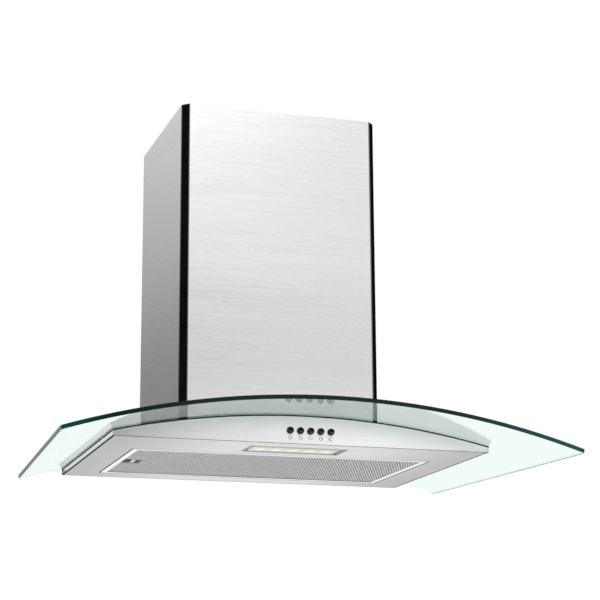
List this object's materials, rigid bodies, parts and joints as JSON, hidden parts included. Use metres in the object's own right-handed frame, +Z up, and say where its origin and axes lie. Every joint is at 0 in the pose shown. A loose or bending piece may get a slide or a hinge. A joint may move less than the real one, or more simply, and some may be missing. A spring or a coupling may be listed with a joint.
{
  "type": "curved glass range hood",
  "caption": "Wall-hung chimney range hood: bent glass canopy over a shallow steel body with push buttons, lamp and hinged grease filter, and a telescoping rectangular chimney over the fan.",
  "frame": {"origin": "centre of the four wall fixing holes in the motor housing's back plate, on the wall plane, 150 mm above the underside panel", "axes": "+X to the user's right facing the wall, +Y into the wall, +Z up"},
  "size_m": [0.6994, 0.483, 0.521],
  "materials": {
    "brushed_steel_panel": "horizontally brushed stainless steel, satin",
    "galvanised_steel": "galvanised sheet, dull",
    "zinc_screw": "zinc plated",
    "smoke_glass": "clear toughened glass with a green edge",
    "black_rubber": "matt",
    "filter_aluminium": "satin",
    "black_plastic": "satin black",
    "grey_plastic": "matt light grey",
    "white_plastic": "matt white",
    "latch_steel": "polished",
    "frosted_diffuser": "frosted opal",
    "motor_paint": "black satin paint",
    "board_green": "solder mask",
    "emitter_yellow": "clear resin"
  },
  "bodies": {
    "hood": {"body_casing": "brushed_steel_panel", "bracket_screws": "zinc_screw", "cable_gland": "black_plastic", "capacitor_clip": "black_plastic", "chimney_fixing_screws": "zinc_screw", "chimney_lower_cover": "brushed_steel_panel", "cutout_gasket": "black_rubber", "edge_gasket": "black_rubber", "fan_motor": "motor_paint", "fan_scroll": "grey_plastic", "fascia_panel": "brushed_steel_panel", "flap_pin": "latch_steel", "glass_canopy": "smoke_glass", "glass_clamp_left": "galvanised_steel", "glass_clamp_left_screw": "zinc_screw", "glass_clamp_pads": "black_rubber", "glass_clamp_right": "galvanised_steel", "glass_clamp_right_screw": "zinc_screw", "lamp_diffuser": "frosted_diffuser", "lamp_housing": "grey_plastic", "led_board": "board_green", "led_driver": "white_plastic", "led_emitters": "emitter_yellow", "motor_bracket": "galvanised_steel", "motor_housing": "galvanised_steel", "outlet_screws": "zinc_screw", "outlet_spigot": "grey_plastic", "run_capacitor": "white_plastic", "switch_block": "black_plastic", "switch_block_screws": "zinc_screw", "terminal_box": "white_plastic", "terminal_box_lid": "white_plastic", "underside_panel": "brushed_steel_panel"},
    "filter_cassette": {"filter_frame": "filter_aluminium", "filter_mesh_lower": "filter_aluminium", "filter_mesh_upper": "filter_aluminium", "filter_latch_cup": "black_plastic", "latch_spring": "zinc_screw"},
    "filter_latch": {"filter_latch": "latch_steel"},
    "fan_rotor": {"fan_impeller": "black_plastic", "motor_shaft": "latch_steel"},
    "flap_left": {"flap_left": "grey_plastic"},
    "flap_right": {"flap_right": "grey_plastic"},
    "upper_chimney": {"chimney_upper_cover": "brushed_steel_panel", "upper_wall_bracket": "galvanised_steel", "upper_bracket_screws": "zinc_screw"},
    "push_button_1": {"push_button_1": "black_plastic"},
    "push_button_2": {"push_button_2": "black_plastic"},
    "push_button_3": {"push_button_3": "black_plastic"},
    "push_button_4": {"push_button_4": "black_plastic"},
    "push_button_5": {"push_button_5": "black_plastic"}
  },
  "joints": [
    {"name": "filter_swing", "type": "hinge", "parent": "hood", "child": "filter_cassette", "pos_m": [0.21425, -0.1525, -0.1487], "axis": [0, -1, 0], "range_deg": [0, 60]},
    {"name": "filter_latch_slide", "type": "slide", "parent": "filter_cassette", "child": "filter_latch", "axis": [1, 0, 0], "range_m": [0, 0.006], "stiffness_N_per_m": 400, "springref_m": -0.002},
    {"name": "fan_spin", "type": "hinge", "parent": "hood", "child": "fan_rotor", "pos_m": [0, -0.137, 0.005], "axis": [1, 0, 0], "continuous": true},
    {"name": "flap_left_swing", "type": "hinge", "parent": "hood", "child": "flap_left", "pos_m": [0, -0.08, 0.1234], "axis": [0, 1, 0], "range_deg": [0, 75]},
    {"name": "flap_right_swing", "type": "hinge", "parent": "hood", "child": "flap_right", "pos_m": [0, -0.08, 0.1234], "axis": [0, -1, 0], "range_deg": [0, 75]},
    {"name": "upper_chimney_slide", "type": "slide", "parent": "hood", "child": "upper_chimney", "axis": [0, 0, 1], "range_m": [0, 0.3]},
    {"name": "push_button_1_press", "type": "slide", "parent": "hood", "child": "push_button_1", "axis": [0, 1, 0], "range_m": [0, 0.003], "stiffness_N_per_m": 600, "springref_m": -0.001},
    {"name": "push_button_2_press", "type": "slide", "parent": "hood", "child": "push_button_2", "axis": [0, 1, 0], "range_m": [0, 0.003], "stiffness_N_per_m": 600, "springref_m": -0.001},
    {"name": "push_button_3_press", "type": "slide", "parent": "hood", "child": "push_button_3", "axis": [0, 1, 0], "range_m": [0, 0.003], "stiffness_N_per_m": 600, "springref_m": -0.001},
    {"name": "push_button_4_press", "type": "slide", "parent": "hood", "child": "push_button_4", "axis": [0, 1, 0], "range_m": [0, 0.003], "stiffness_N_per_m": 600, "springref_m": -0.001},
    {"name": "push_button_5_press", "type": "slide", "parent": "hood", "child": "push_button_5", "axis": [0, 1, 0], "range_m": [0, 0.003], "stiffness_N_per_m": 600, "springref_m": -0.001}
  ]
}
